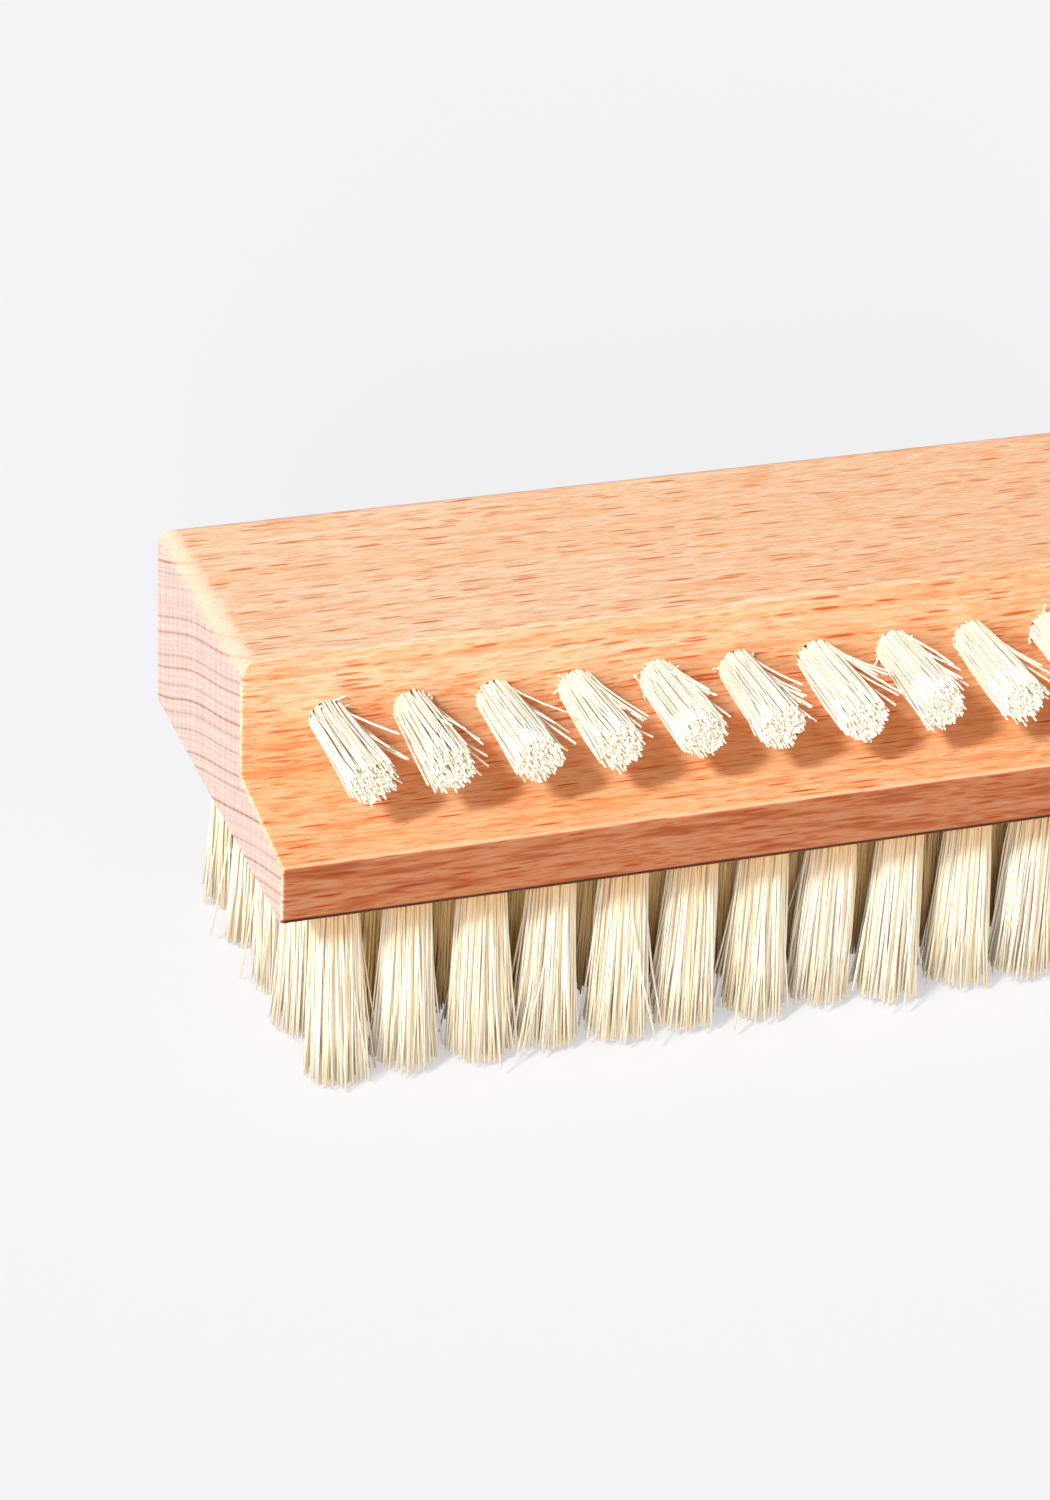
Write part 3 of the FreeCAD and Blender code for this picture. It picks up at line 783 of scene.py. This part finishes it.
def field_lines(dice, count, centre, trim):
    """Paths of one field tuft, which hangs from the underside at this centre, cut shorter by a
    trim."""
    drift = dice.normal(0, FIELD_DRIFT, (count, 2)) + dice.normal(0, FIELD_LEAN, 2)
    stray = dice.uniform(0, 1, count) < STRAY_SHARE
    drift[stray] *= dice.uniform(*STRAY_DRIFT, (stray.sum(), 1))
    reach = underside - trim - np.abs(dice.normal(0, FIELD_UNEVEN, count))
    paths = centre_lines(dice, *FIELD_RADII, drift, reach)
    along_x, along_y, down = np.moveaxis(paths, 2, 0)
    return np.stack([along_x + centre[0], along_y + centre[1], underside - down], 2)


# %% Scrubbing field
COLUMNS, ROWS = 14, 5
OUTER_BRISTLES, INNER_BRISTLES = 420, 290
END_TRIM, TRIM = 0.1, 0.5
TUFT_SEED, PIECE_SEED = 100, 1000


def field_places():
    """Middle of each column along X, and of each row along Y, in millimetres."""
    fronts = [f"front_tuft_{number:02d}" for number in range(1, COLUMNS + 1)]
    lefts = [f"left_tuft_{number}" for number in range(2, ROWS)]
    columns = [sum(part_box(name), Vector()).x / 2 / MM for name in fronts]
    side = ["front_tuft_01", *lefts, "back_tuft_01"]
    rows = [sum(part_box(name), Vector()).y / 2 / MM for name in side]
    return columns, rows


def field_node(column, row):
    """Name of the CAD node that holds a tuft of the field."""
    if row == 0:
        return f"front_tuft_{column + 1:02d}"
    if row == ROWS - 1:
        return f"back_tuft_{column + 1:02d}"
    if column == 0:
        return f"left_tuft_{row + 1}"
    if column == COLUMNS - 1:
        return f"right_tuft_{row + 1}"
    return f"inner_tufts_row_{row + 1}"


columns, rows = field_places()
groups = {}
for row, y in enumerate(rows):
    for column, x in enumerate(columns):
        dice = np.random.default_rng(TUFT_SEED + row * COLUMNS + column)
        trim = END_TRIM if column == 0 else TRIM
        node = field_node(column, row)
        count = INNER_BRISTLES if "inner" in node else OUTER_BRISTLES
        groups.setdefault(node, []).append(field_lines(dice, count, (x, y), trim))
faces = 0
for order, (node, tufts) in enumerate(groups.items()):
    dice = np.random.default_rng(PIECE_SEED + order)
    name = node.replace("tufts", "bristles").replace("tuft", "bristles")
    kind = "inner" if "inner" in node else "outer"
    faces += dress(name, bristle_mesh(node, dice, np.concatenate(tufts)), node, kind)
print("field of", ROWS, "by", COLUMNS, "tufts with", faces, "faces")

# %% [markdown]
# ## Floor
#
# The brush stands on a plain pale floor that runs past every edge of the picture. White paint alone
# would turn grey in the shadow of the brush, so the floor is a light table, as pictures for a
# catalogue have. Its glow is only for the eye: it hides most of the shadow on the table, and throws
# no light of its own on the brush.

# %% Floor
FLOOR_SIZE = 4.0
BACKDROP = paint(244, 244, 246)
BLACK = paint(0, 0, 0)
FLOOR_SEEN = paint(166, 166, 168)
FLOOR_THROWN = paint(232, 230, 226)
GLOW_STRENGTH = 0.58


def seen_directly(recipe):
    """1 for rays from the eye, by a mirror or through glass, and 0 for soft bounces."""
    rays = recipe.node("ShaderNodeLightPath").socket.node
    names = ("Is Camera Ray", "Is Glossy Ray", "Is Transmission Ray")
    eye, mirror, glass = (Signal(recipe, rays.outputs[name]) for name in names)
    either = eye.maths("MAXIMUM", eye, mirror)
    return either.maths("MAXIMUM", either, glass)


sheet = bmesh.new()
bmesh.ops.create_grid(sheet, x_segments=1, y_segments=1, size=FLOOR_SIZE / 2)
floor_mesh = bpy.data.meshes.new("floor")
sheet.to_mesh(floor_mesh)
sheet.free()
material, recipe, surface = new_finish("pale_floor")
seen = seen_directly(recipe)
recipe.fill(surface, {
    "Base Color": blend(recipe, FLOOR_THROWN, FLOOR_SEEN, seen),
    "Emission Color": blend(recipe, BLACK, BACKDROP, seen),
    "Emission Strength": GLOW_STRENGTH,
    "Roughness": 1,
    "Specular IOR Level": 0,
})
floor_mesh.materials.append(material)
floor = bpy.data.objects.new("floor", floor_mesh)
bpy.context.scene.collection.objects.link(floor)
print("floor of", FLOOR_SIZE, "m")

# %% [markdown]
# ## Light
#
# Area lamps would leave the floor uneven, so the light is two suns, wide enough for soft shadows,
# and an even sky. The first sun stands high on the left, like a window. The second stands low on
# the viewer's side, as a photographer holds a reflector: it lights the bristles, which are in the
# shade of the block.

# %% Light
SUNS = {
    "window": {"turn": -56, "height": 40, "width": 9, "strength": 3.15},
    "reflector": {"turn": -20, "height": 13, "width": 18, "strength": 1.2},
}
SKY_LOW, SKY_HIGH = 0.24, 0.12

for name, setting in SUNS.items():
    sun = bpy.data.lights.new(name, "SUN")
    sun.energy = setting["strength"]
    sun.angle = math.radians(setting["width"])
    lamp = bpy.data.objects.new(name, sun)
    tilt, turn = math.radians(90 - setting["height"]), math.radians(setting["turn"])
    lamp.rotation_euler = (tilt, 0, turn)
    bpy.context.scene.collection.objects.link(lamp)

world = bpy.data.worlds.new("room")
bpy.context.scene.world = world
world.use_nodes = True
recipe = Recipe(world.node_tree)
sky = world.node_tree.nodes["Background"]
_, _, height = split(recipe, recipe.node("ShaderNodeTexCoord", output="Generated"))
overhead = height.maths("MAXIMUM", height, 0)
level = overhead * overhead * SKY_HIGH + SKY_LOW
seen = seen_directly(recipe)
recipe.fill(sky, {"Color": BACKDROP, "Strength": seen + (1 - seen) * level})
bpy.context.scene.view_settings.view_transform = "Standard"
print("light from", len(SUNS), "suns and the sky")
